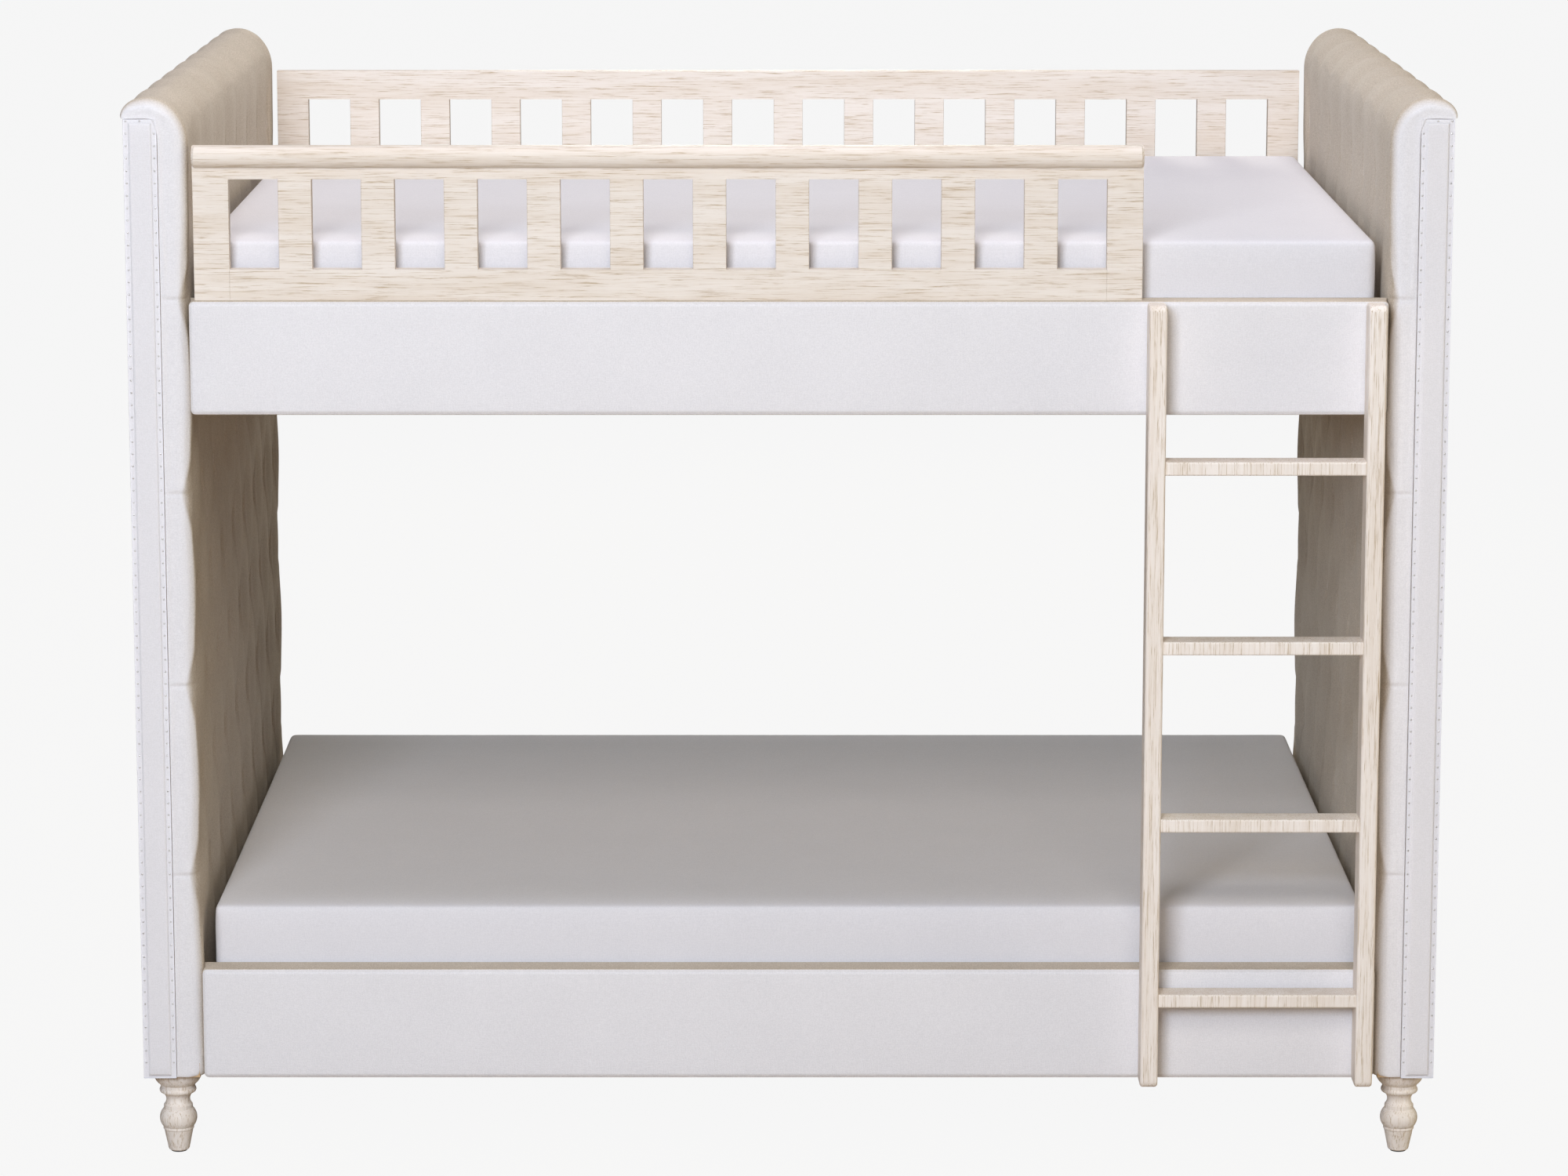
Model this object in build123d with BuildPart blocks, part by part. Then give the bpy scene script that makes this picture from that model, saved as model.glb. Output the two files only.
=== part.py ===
from build123d import *
import os

os.makedirs("parts", exist_ok=True)

# The bed stands on Z = 0 and is centred on X = 0 and Y = 0. +X runs along the mattresses towards the ladder,
# +Y runs from the front, where the ladder hangs, to the back. All sizes are in millimetres.

# Mattresses
mattress_length = 1905
mattress_width = 1372
mattress_height = 152
mattress_edge_radius = 14
mattress_side_gap = 4
mattress_end_gap = 16.5
mattress_rest_gap = 0.3

# Heights above the floor
foot_height = 140
upper_rail_bottom = 1250
lower_deck_above_rail_bottom = 130
upper_deck_above_rail_bottom = 127

# Side rails
rail_height = 186
rail_thickness = 50
rail_foam = 10
rail_edge_foam = 8
rail_end_foam = 4
rail_edge_radius = 9
rail_end_gap = 1

# End panels, from the bed outwards
padding_thickness = 44
sheet_thickness = 6
panel_frame_thickness = 40
outer_cover_thickness = 8
panel_above_guard = 45
post_width = 100
sill_height = 24
sill_skin = 6
cross_rail_height = 140
middle_cross_rail_height = 80
top_cross_rail_height = 80

# Padded roll over the top of an end panel
roll_height = 35
roll_overhang = 5
roll_inner_radius = 55
roll_crown_height = 5
padding_setback = 2
padding_edge_radius = 8

# Border plates with nailheads
plate_thickness = 8
plate_panel_relief = 3
plate_side_band = 8.5
plate_top_band = 6.5
plate_bottom_band = 5
nail_radius = 1.5
nail_height = 1.2
nail_end_margin = 15

# Slats, cleats and centre beams
slat_count = 14
slat_width = 70
slat_thickness = 18
slat_side_gap = 2
cleat_depth = 24
cleat_height = 34
beam_width = 40
beam_height = 70
beam_end_gap = 0.5

# Steel brackets and their bearing blocks
steel_thickness = 4
bracket_leg = 50
bracket_height = 50
hanger_reach = 60
hanger_ear = 25
hanger_lip = 10
block_margin = 3
pocket_gap = 0.5

# Connector bolts and threaded inserts
bolt_radius = 4
panel_bolt_end_inset = 4
ladder_bolt_in_stile = 31
bolt_head_radius = 6.5
bolt_head_height = 5.5
bolt_socket_radius = 2.9
bolt_socket_depth = 3
bolt_hole_gap = 0.5
bolt_pair_spacing = 26
insert_radius = 6
insert_length = 25
insert_hole_gap = 0.05
counterbore_depth = 6
thread_gap = 0.05

# Wood screws
screw_radius = 2.25
screw_head_radius = 4.5
screw_head_height = 2.5
bracket_screw_length = 30
bracket_screw_spacing = 26
cleat_screw_length = 42
cleat_screw_count = 8
cleat_screw_recess = 4
screw_tip_gap = 1

# Guard rails
guard_setback = 15
guard_thickness = 24
guard_bottom_rail_height = 50
guard_opening_height = 146
guard_top_rail_height = 53
guard_post_width = 58
baluster_width = 54
front_guard_end_inset = 9
back_guard_end_inset = 12
guard_ladder_gap = 7
front_baluster_count = 10
back_baluster_count = 13
moulding_height = 35
moulding_end_radius = 4
eased_edge = 1.5
tenon_length = 15
tenon_thickness = 10
tenon_shoulder = 6
tenon_gap = 0.2
stud_radius = 4
stud_in_guard = 30
stud_in_rail = 42
stud_count = 4
stud_end_margin = 70

# Ladder
ladder_inner_width = 324
ladder_end_inset = 9
stile_width = 29
stile_depth = 60
stile_edge_radius = 5
stile_end_radius = 12
rung_count = 4
first_rung_above_stile_end = 157
top_rung_below_rail = 68
rung_thickness = 22
rung_depth = 50
rung_setback = 5
rung_edge_radius = 3
rung_tenon_thickness = 12
rung_tenon_depth = 34
ladder_bolt_below_rail_top = 60

# Turned feet
foot_from_end = 60
foot_from_inner_face = 49
foot_cup_radius = 40
foot_cup_height = 8
foot_throat_radius = 28.6
foot_neck_radius = 19.8
foot_bead_radius = 30.5
foot_collar_radius = 24
foot_belly_radius = 31
foot_ring_radius = 25.4
foot_toe_radius = 17.6
foot_toe_round = 4
foot_drawn_height = 140
foot_taper_top = 37
foot_ring_bottom = 39
foot_ring_top = 43
foot_belly_middle = 58
foot_collar_bottom = 74
foot_collar_top = 80
foot_neck_middle = 90
foot_bead_bottom = 101
foot_bead_middle = 105
foot_bead_top = 110
foot_throat_top = 115
foot_cove_middle = 122
foot_cove_bulge = 1.5
foot_bead_inset = 2
glide_radius = 13
glide_height = 2
foot_bolt_radius = 4
foot_bolt_in_sill = 20
foot_bolt_in_foot = 60
foot_bolt_end_gap = 2

# Lengths along X, measured from the middle of the bed
rail_length = mattress_length + 2 * mattress_end_gap
rail_end = rail_length / 2
core_end = rail_end - rail_end_foam
panel_in = rail_end + rail_end_gap
sheet_in = panel_in + padding_thickness
frame_in = sheet_in + sheet_thickness
frame_out = frame_in + panel_frame_thickness
panel_out = frame_out + outer_cover_thickness
roll_out = panel_out + roll_overhang

# Depths along Y
bed_depth = mattress_width + 2 * (mattress_side_gap + rail_thickness)
front_y = -(bed_depth - stile_depth) / 2
back_y = front_y + bed_depth
mid_y = (front_y + back_y) / 2
rail_in_front = front_y + rail_thickness
rail_in_back = back_y - rail_thickness
frame_front = front_y + plate_thickness
frame_back = back_y - plate_thickness

# Heights along Z
panel_bottom = foot_height
sill_top = panel_bottom + sill_height
upper_rail_top = upper_rail_bottom + rail_height
rail_bottoms = (panel_bottom, upper_rail_bottom)
core_top = rail_height - rail_edge_foam
deck_tops = (panel_bottom + lower_deck_above_rail_bottom, upper_rail_bottom + upper_deck_above_rail_bottom)
opening_bottom = upper_rail_top + guard_bottom_rail_height
opening_top = opening_bottom + guard_opening_height
guard_top = opening_top + guard_top_rail_height
panel_top = guard_top + panel_above_guard
roll_top = panel_top + roll_height
roll_outer_radius = roll_height - roll_crown_height

mid_plane = Plane(origin=(0, mid_y, 0), z_dir=(0, 1, 0))


def block(x0, x1, y0, y1, z0, z1, mode=Mode.ADD):
    """Rectangular block between two opposite corners."""
    with Locations(((x0 + x1) / 2, (y0 + y1) / 2, (z0 + z1) / 2)):
        Box(abs(x1 - x0), abs(y1 - y0), abs(z1 - z0), mode=mode)


def rod(start, end, radius, mode=Mode.ADD):
    """Round rod from one point to another."""
    reach = Vector(*end) - Vector(*start)
    with Locations(Plane(origin=start, z_dir=reach)):
        Cylinder(radius, reach.length, align=(Align.CENTER, Align.CENTER, Align.MIN), mode=mode)


def save(piece, name):
    piece.part.label = name
    export_step(piece.part, f"parts/{name}.step")


def mirrored(piece, plane):
    with BuildPart() as copy:
        mirror(piece.part, about=plane)
    return copy


def save_both_ends(piece, name):
    """Writes a right-hand piece and its mirror image at the left end."""
    save(piece, f"right_{name}")
    save(mirrored(piece, Plane.YZ), f"left_{name}")


def evenly(start, end, count):
    """Evenly spaced places from start to end."""
    return [start + (end - start) * i / (count - 1) for i in range(count)]


# ---------------------------------------------------------------------------
# Where the steel and the bolts go
# ---------------------------------------------------------------------------

# Height of each rail bracket's lower edge, and of each beam
bracket_bottoms = [bottom + sill_height for bottom in rail_bottoms]
beam_tops = [top - slat_thickness for top in deck_tops]
beam_bottoms = [top - beam_height for top in beam_tops]
hanger_half_width = beam_width / 2 + steel_thickness + hanger_ear

# Inner face of a side rail, and the direction from it into the bed
rail_faces = ((rail_in_front, 1), (rail_in_back, -1))

rail_bolt_offset = (steel_thickness + bracket_leg) / 2
rail_bolt_spots = [
    (face + into_bed * rail_bolt_offset, bottom + bracket_height / 2 + shift)
    for face, into_bed in rail_faces
    for bottom in bracket_bottoms
    for shift in (-bolt_pair_spacing / 2, bolt_pair_spacing / 2)
]
hanger_bolt_spots = [
    (mid_y + side * (hanger_half_width - hanger_ear / 2), (bottom - steel_thickness + top - hanger_lip) / 2)
    for bottom, top in zip(beam_bottoms, beam_tops)
    for side in (-1, 1)
]
panel_bolt_spots = rail_bolt_spots + hanger_bolt_spots

# Ladder stiles, between the inner and the outer face of each
outer_stile_end = rail_end - ladder_end_inset
inner_stile_start = outer_stile_end - 2 * stile_width - ladder_inner_width
stile_starts = {"left": inner_stile_start, "right": outer_stile_end - stile_width}
stile_centres = [start + stile_width / 2 for start in stile_starts.values()]
ladder_bolt_heights = [bottom + rail_height - ladder_bolt_below_rail_top for bottom in rail_bottoms]

# Guard rails, and the studs that stand between each of them and the upper side rail
front_guard_start = -(rail_end - front_guard_end_inset)
front_guard_end = inner_stile_start - guard_ladder_gap
back_guard_end = rail_end - back_guard_end_inset
guard_mid = front_y + guard_setback + guard_thickness / 2
front_stud_xs = evenly(
    front_guard_start + guard_post_width + stud_end_margin,
    front_guard_end - guard_post_width - stud_end_margin,
    stud_count,
)
back_stud_xs = evenly(
    -back_guard_end + guard_post_width + stud_end_margin,
    back_guard_end - guard_post_width - stud_end_margin,
    stud_count,
)

cleat_screw_xs = evenly(-rail_end + 90, rail_end - 90, cleat_screw_count)


# ---------------------------------------------------------------------------
# End panels
# ---------------------------------------------------------------------------

post_fronts = (frame_front, frame_back - post_width)
hole_radius = bolt_radius + bolt_hole_gap


def panel_bolt_holes(x0, x1, radius, spots=panel_bolt_spots):
    """Holes along X at the panel bolts, cut from the piece that is being built."""
    for y, z in spots:
        rod((x0, y, z), (x1, y, z), radius, mode=Mode.SUBTRACT)


def insert_holes(spots):
    """Holes for a threaded insert in the face of the frame, with room for the bolt's tip."""
    depth = insert_length + insert_hole_gap
    panel_bolt_holes(frame_in, frame_in + depth, insert_radius + insert_hole_gap, spots)


# Two upright posts of the right frame
with BuildPart() as posts:
    for y in post_fronts:
        block(frame_in, frame_out, y, y + post_width, sill_top, panel_top)
    insert_holes(rail_bolt_spots)
save_both_ends(posts, "end_posts")

# Cross rails between the posts: at the bottom, behind the upper deck, between them, and at the top
middle_of_lower_hollow = (sill_top + cross_rail_height + upper_rail_bottom) / 2
cross_rail_spans = [
    (sill_top, cross_rail_height),
    (middle_of_lower_hollow - middle_cross_rail_height / 2, middle_cross_rail_height),
    (upper_rail_bottom, cross_rail_height),
    (panel_top - top_cross_rail_height, top_cross_rail_height),
]
with BuildPart() as cross_rails:
    for bottom, height in cross_rail_spans:
        block(frame_in, frame_out, frame_front + post_width, frame_back - post_width, bottom, bottom + height)
    insert_holes(hanger_bolt_spots)
save_both_ends(cross_rails, "cross_rails")

# Thin sheet that backs the padding
with BuildPart() as inner_sheet:
    block(sheet_in, frame_in, frame_front, frame_back, sill_top, panel_top)
    panel_bolt_holes(sheet_in, frame_in, hole_radius)
save_both_ends(inner_sheet, "inner_sheet")

# Sill under the frame and the padding, with a blind hole for each foot's hanger bolt
foot_x = panel_in + foot_from_inner_face
foot_ys = (front_y + foot_from_end, back_y - foot_from_end)
with BuildPart() as sill:
    block(panel_in + sill_skin, frame_out, frame_front, frame_back, panel_bottom, sill_top)
    for y in foot_ys:
        rod(
            (foot_x, y, panel_bottom),
            (foot_x, y, panel_bottom + foot_bolt_in_sill + foot_bolt_end_gap),
            foot_bolt_radius + thread_gap,
            mode=Mode.SUBTRACT,
        )
save_both_ends(sill, "sill")

# Flat cloth-covered board on the outside
with BuildPart() as outer_cover:
    block(frame_out, panel_out, frame_front, frame_back, panel_bottom, panel_top)
save_both_ends(outer_cover, "outer_cover")

# Hardwood blocks in pockets of the padding, behind each rail bracket and each beam hanger
block_boxes = [
    (
        face - into_bed * block_margin,
        face + into_bed * (bracket_leg + block_margin),
        bottom,
        bottom + bracket_height,
    )
    for face, into_bed in rail_faces
    for bottom in bracket_bottoms
] + [
    (
        mid_y - hanger_half_width - block_margin,
        mid_y + hanger_half_width + block_margin,
        bottom - steel_thickness,
        top - hanger_lip,
    )
    for bottom, top in zip(beam_bottoms, beam_tops)
]

# Padding on the inner side, rolled over the top of the frame
padding_front = front_y + padding_setback
padding_back = back_y - padding_setback
with BuildPart() as padding:
    with BuildSketch(Plane.XZ.offset(-padding_back)) as section:
        with BuildLine():
            Polyline(
                (panel_in, panel_bottom),
                (panel_in, roll_top),
                (roll_out, roll_top),
                (roll_out, panel_top),
                (sheet_in, panel_top),
                (sheet_in, panel_bottom),
                close=True,
            )
        make_face()
        top_corners = section.vertices().group_by(Axis.Y)[-1].sort_by(Axis.X)
        fillet(top_corners[0], roll_inner_radius)
        top_corners = section.vertices().group_by(Axis.Y)[-1].sort_by(Axis.X)
        fillet(top_corners[-1], roll_outer_radius)
    extrude(amount=padding_back - padding_front)
    for end_face in (padding.faces().sort_by(Axis.Y)[0], padding.faces().sort_by(Axis.Y)[-1]):
        outline = end_face.edges().filter_by(
            lambda edge: edge.center().Z > panel_top + 1
            or edge.center().X < sheet_in - 1 and edge.center().Z > panel_bottom + 1
        )
        fillet(outline, padding_edge_radius)
    block(
        panel_in + sill_skin, sheet_in, frame_front, frame_back, panel_bottom, sill_top, mode=Mode.SUBTRACT
    )
    for y0, y1, z0, z1 in block_boxes:
        low, high = sorted((y0, y1))
        block(panel_in, sheet_in, low - pocket_gap, high + pocket_gap, z0 - pocket_gap, z1 + pocket_gap,
              mode=Mode.SUBTRACT)
save_both_ends(padding, "tufted_padding")

with BuildPart() as bearing_blocks:
    for side in (-1, 1):
        for y0, y1, z0, z1 in block_boxes:
            block(side * panel_in, side * sheet_in, y0, y1, z0, z1)
        panel_bolt_holes(side * panel_in, side * sheet_in, hole_radius)
save(bearing_blocks, "bearing_blocks")

# Border plate: a thin band round a raised centre panel
with BuildPart() as border:
    block(sheet_in, panel_out, front_y + plate_panel_relief, frame_front, panel_bottom, panel_top)
    block(
        sheet_in + plate_side_band,
        panel_out - plate_side_band,
        front_y,
        front_y + plate_panel_relief,
        panel_bottom + plate_bottom_band,
        panel_top - plate_top_band,
    )
save_both_ends(border, "front_border")
save_both_ends(mirrored(border, mid_plane), "back_border")

# Nailhead trim: a strip along each side band of every border plate, and one head in the middle of its top
trim_xs = (sheet_in + plate_side_band / 2, panel_out - plate_side_band / 2)
trim_top = panel_top - (plate_top_band - 2 * nail_radius) / 2
plate_mid = (sheet_in + panel_out) / 2
with BuildPart() as nailhead_trim:
    for side in (-1, 1):
        for face, outward in ((front_y + plate_panel_relief, -1), (back_y - plate_panel_relief, 1)):
            outer = face + outward * nail_height
            for x in trim_xs:
                block(
                    side * x - nail_radius,
                    side * x + nail_radius,
                    face,
                    outer,
                    panel_bottom + nail_end_margin,
                    trim_top,
                )
            middle_nail = (side * plate_mid, face, trim_top - nail_radius)
            rod(middle_nail, (side * plate_mid, outer, trim_top - nail_radius), nail_radius)
save(nailhead_trim, "nailhead_trim")


# ---------------------------------------------------------------------------
# Feet
# ---------------------------------------------------------------------------


def turned_at(radius, drawn_height):
    """Point of the foot's outline, with its height in proportion to the foot's."""
    return (radius, drawn_height * foot_height / foot_drawn_height)


taper_end = turned_at(foot_collar_radius, foot_taper_top)
ring_start = turned_at(foot_ring_radius, foot_ring_bottom)
ring_end = turned_at(foot_ring_radius, foot_ring_top)
collar_start = turned_at(foot_collar_radius, foot_collar_bottom)
collar_end = turned_at(foot_collar_radius, foot_collar_top)
bead_start = turned_at(foot_throat_radius - foot_bead_inset, foot_bead_bottom)
bead_end = turned_at(foot_throat_radius, foot_bead_top)
throat_end = turned_at(foot_throat_radius, foot_throat_top)
cove = turned_at((foot_throat_radius + foot_cup_radius) / 2 + foot_cove_bulge, foot_cove_middle)


def foot(x, y):
    """Turned foot: toe, ring, belly, collar, neck, bead and cup from the floor up."""
    with BuildPart() as turned:
        with BuildSketch(Plane(origin=(x, y, 0), x_dir=(1, 0, 0), z_dir=(0, -1, 0))):
            with BuildLine():
                toe_flat = (foot_toe_radius - foot_toe_round, glide_height)
                toe_side = (foot_toe_radius, glide_height + foot_toe_round)
                Line((0, glide_height), toe_flat)
                TangentArc(toe_flat, toe_side, tangent=(1, 0))
                Polyline(toe_side, taper_end, ring_start, ring_end)
                ThreePointArc(ring_end, turned_at(foot_belly_radius, foot_belly_middle), collar_start)
                Line(collar_start, collar_end)
                ThreePointArc(collar_end, turned_at(foot_neck_radius, foot_neck_middle), bead_start)
                ThreePointArc(bead_start, turned_at(foot_bead_radius, foot_bead_middle), bead_end)
                Line(bead_end, throat_end)
                ThreePointArc(throat_end, cove, (foot_cup_radius, foot_height - foot_cup_height))
                Polyline(
                    (foot_cup_radius, foot_height - foot_cup_height),
                    (foot_cup_radius, foot_height),
                    (0, foot_height),
                    (0, glide_height),
                )
            make_face()
        revolve(axis=Axis((x, y, 0), (0, 0, 1)))
        rod(
            (x, y, foot_height - foot_bolt_in_foot - foot_bolt_end_gap),
            (x, y, foot_height),
            foot_bolt_radius + thread_gap,
            mode=Mode.SUBTRACT,
        )
    return turned


for depth_name, y in zip(("front", "back"), foot_ys):
    for end_name, side in (("left", -1), ("right", 1)):
        save(foot(side * foot_x, y), f"{depth_name}_{end_name}_foot")

foot_places = [(side * foot_x, y) for side in (-1, 1) for y in foot_ys]
with BuildPart() as foot_bolts:
    for x, y in foot_places:
        rod((x, y, foot_height - foot_bolt_in_foot), (x, y, foot_height + foot_bolt_in_sill), foot_bolt_radius)
save(foot_bolts, "foot_hanger_bolts")

with BuildPart() as glides:
    for x, y in foot_places:
        rod((x, y, 0), (x, y, glide_height), glide_radius)
save(glides, "foot_glides")


# ---------------------------------------------------------------------------
# Side rails
# ---------------------------------------------------------------------------


def ladder_rail_holes(radius, y0, y1):
    """Holes along Y for the ladder's bolts, at both of its stiles."""
    for x in stile_centres:
        for z in ladder_bolt_heights:
            rod((x, y0, z), (x, y1, z), radius, mode=Mode.SUBTRACT)


def stud_holes(xs):
    """Holes along Z for the guard rail's studs, down into a front side rail."""
    for x in xs:
        rod(
            (x, guard_mid, upper_rail_top - stud_in_rail - foot_bolt_end_gap),
            (x, guard_mid, upper_rail_top),
            stud_radius + thread_gap,
            mode=Mode.SUBTRACT,
        )


def cleat_screw_spots(level):
    """X and Z of the screws through a front cleat, with the lower deck's as level 0."""
    return [(x, beam_tops[level] - cleat_height / 2) for x in cleat_screw_xs]


def bracket_screw_spots(level):
    """X and Z of the screws through the brackets at both ends of a front rail."""
    middle = panel_in - (steel_thickness + hanger_reach) / 2
    return [
        (side * (middle + shift), bracket_bottoms[level] + bracket_height / 2)
        for side in (-1, 1)
        for shift in (-bracket_screw_spacing / 2, bracket_screw_spacing / 2)
    ]


def screw_holes(spots, length):
    """Blind holes along Y for wood screws, into the inner face of a front side rail."""
    for x, z in spots:
        tip = rail_in_front - length - screw_tip_gap
        rod((x, tip, z), (x, rail_in_front, z), screw_radius + thread_gap, mode=Mode.SUBTRACT)


def rail_core(level, has_ladder, stud_xs):
    """Plank inside a front side rail."""
    bottom = rail_bottoms[level]
    core_face = front_y + rail_foam
    with BuildPart() as core:
        block(-core_end, core_end, core_face, rail_in_front, bottom + rail_edge_foam, bottom + core_top)
        if has_ladder:
            ladder_rail_holes(hole_radius, core_face, rail_in_front)
            counterbore = rail_in_front - counterbore_depth
            ladder_rail_holes(bolt_head_radius + bolt_hole_gap, counterbore, rail_in_front)
        stud_holes(stud_xs)
        screw_holes(cleat_screw_spots(level), cleat_screw_length - cleat_depth + cleat_screw_recess)
        screw_holes(bracket_screw_spots(level), bracket_screw_length - steel_thickness)
    return core


def rail_cover(level, has_ladder, stud_xs):
    """Foam and cloth round the outer face, the top and the bottom of a front side rail."""
    bottom = rail_bottoms[level]
    with BuildPart() as cover:
        block(-rail_end, rail_end, front_y, rail_in_front, bottom, bottom + rail_height)
        fillet(cover.edges().group_by(Axis.Y)[0], rail_edge_radius)
        block(
            -core_end,
            core_end,
            front_y + rail_foam,
            rail_in_front,
            bottom + rail_edge_foam,
            bottom + core_top,
            mode=Mode.SUBTRACT,
        )
        if has_ladder:
            ladder_rail_holes(hole_radius, front_y, front_y + rail_foam)
        stud_holes(stud_xs)
    return cover


for level, level_name in enumerate(("lower", "upper")):
    front_studs, back_studs = (front_stud_xs, back_stud_xs) if level_name == "upper" else ([], [])
    save(rail_core(level, True, front_studs), f"{level_name}_front_rail_core")
    save(rail_cover(level, True, front_studs), f"{level_name}_front_rail_cover")
    save(mirrored(rail_core(level, False, back_studs), mid_plane), f"{level_name}_back_rail_core")
    save(mirrored(rail_cover(level, False, back_studs), mid_plane), f"{level_name}_back_rail_cover")

# Cleats that carry the slats' ends, screwed to the inner face of each rail
with BuildPart() as cleats:
    for level, top in enumerate(beam_tops):
        for face, into_bed in rail_faces:
            inner = face + into_bed * cleat_depth
            block(-rail_end, rail_end, face, inner, top - cleat_height, top)
            for x, z in cleat_screw_spots(level):
                rod((x, face, z), (x, inner, z), screw_radius + thread_gap, mode=Mode.SUBTRACT)
                rod(
                    (x, inner - into_bed * cleat_screw_recess, z),
                    (x, inner, z),
                    screw_head_radius + thread_gap,
                    mode=Mode.SUBTRACT,
                )
save(cleats, "slat_cleats")

with BuildPart() as cleat_screws:
    for level in range(2):
        for face, into_bed in rail_faces:
            seat = face + into_bed * (cleat_depth - cleat_screw_recess)
            for x, z in cleat_screw_spots(level):
                rod((x, seat, z), (x, seat - into_bed * cleat_screw_length, z), screw_radius)
                rod((x, seat, z), (x, seat + into_bed * screw_head_height, z), screw_head_radius)
save(cleat_screws, "cleat_screws")


# ---------------------------------------------------------------------------
# Brackets, hangers, beams and slats
# ---------------------------------------------------------------------------

# Steel angle at each rail end: one leg on the rail's inner face, one against the end panel
with BuildPart() as rail_brackets:
    for side in (-1, 1):
        for face, into_bed in rail_faces:
            for level, bottom in enumerate(bracket_bottoms):
                top = bottom + bracket_height
                end = side * panel_in
                block(end, end - side * steel_thickness, face, face + into_bed * bracket_leg, bottom, top)
                block(end, end - side * hanger_reach, face, face + into_bed * steel_thickness, bottom, top)
                leg_face = face + into_bed * steel_thickness
                for x, z in bracket_screw_spots(level):
                    rod((x, face, z), (x, leg_face, z), screw_radius + thread_gap, mode=Mode.SUBTRACT)
        panel_bolt_holes(side * panel_in, side * (panel_in - steel_thickness), hole_radius, rail_bolt_spots)
save(rail_brackets, "rail_brackets")

with BuildPart() as bracket_screws:
    for face, into_bed in rail_faces:
        seat = face + into_bed * steel_thickness
        for level in range(2):
            for x, z in bracket_screw_spots(level):
                rod((x, seat, z), (x, seat - into_bed * bracket_screw_length, z), screw_radius)
                rod((x, seat, z), (x, seat + into_bed * screw_head_height, z), screw_head_radius)
save(bracket_screws, "bracket_screws")

# Centre beams, one under each deck
beam_end = panel_in - steel_thickness - beam_end_gap
for level_name, bottom, top in zip(("lower", "upper"), beam_bottoms, beam_tops):
    with BuildPart() as beam:
        block(-beam_end, beam_end, mid_y - beam_width / 2, mid_y + beam_width / 2, bottom, top)
    save(beam, f"{level_name}_center_beam")

# Steel stirrups that carry the beams' ends
with BuildPart() as beam_hangers:
    for side in (-1, 1):
        end = side * panel_in
        reach = side * (panel_in - hanger_reach)
        back = side * (panel_in - steel_thickness)
        for bottom, top in zip(beam_bottoms, beam_tops):
            low = bottom - steel_thickness
            high = top - hanger_lip
            half = beam_width / 2
            block(end, back, mid_y - hanger_half_width, mid_y + hanger_half_width, low, high)
            block(back, reach, mid_y - half - steel_thickness, mid_y + half + steel_thickness, low, bottom)
            block(back, reach, mid_y - half - steel_thickness, mid_y - half, bottom, high)
            block(back, reach, mid_y + half, mid_y + half + steel_thickness, bottom, high)
        panel_bolt_holes(end, back, hole_radius, hanger_bolt_spots)
save(beam_hangers, "beam_hangers")

# Slats across each deck
slat_xs = evenly(-(mattress_length - slat_width) / 2, (mattress_length - slat_width) / 2, slat_count)
for level_name, top in zip(("lower", "upper"), deck_tops):
    with BuildPart() as slats:
        for x in slat_xs:
            block(
                x - slat_width / 2,
                x + slat_width / 2,
                rail_in_front + slat_side_gap,
                rail_in_back - slat_side_gap,
                top - slat_thickness,
                top,
            )
        fillet(slats.edges().filter_by(Axis.Y), eased_edge)
    save(slats, f"{level_name}_slats")

# Mattresses
for level_name, top in zip(("lower", "upper"), deck_tops):
    with BuildPart() as mattress:
        with Locations((0, mid_y, top + mattress_rest_gap + mattress_height / 2)):
            Box(mattress_length, mattress_width, mattress_height)
        fillet(mattress.edges(), mattress_edge_radius)
    save(mattress, f"{level_name}_mattress")


# ---------------------------------------------------------------------------
# Guard rails on the upper side rails
# ---------------------------------------------------------------------------

guard_face = front_y + guard_setback
guard_back = guard_face + guard_thickness
guard_bottom = upper_rail_top


def tenon(x0, x1, z0, z1, gap=0, mode=Mode.ADD):
    """Tenon in the middle of the guard rail's thickness, or its mortise when gap and mode say so."""
    block(
        x0 - gap,
        x1 + gap,
        guard_mid - tenon_thickness / 2 - gap,
        guard_mid + tenon_thickness / 2 + gap,
        z0 - gap,
        z1 + gap,
        mode=mode,
    )


def in_front(piece):
    return piece


def at_the_back(piece):
    return mirrored(piece, mid_plane)


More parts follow.
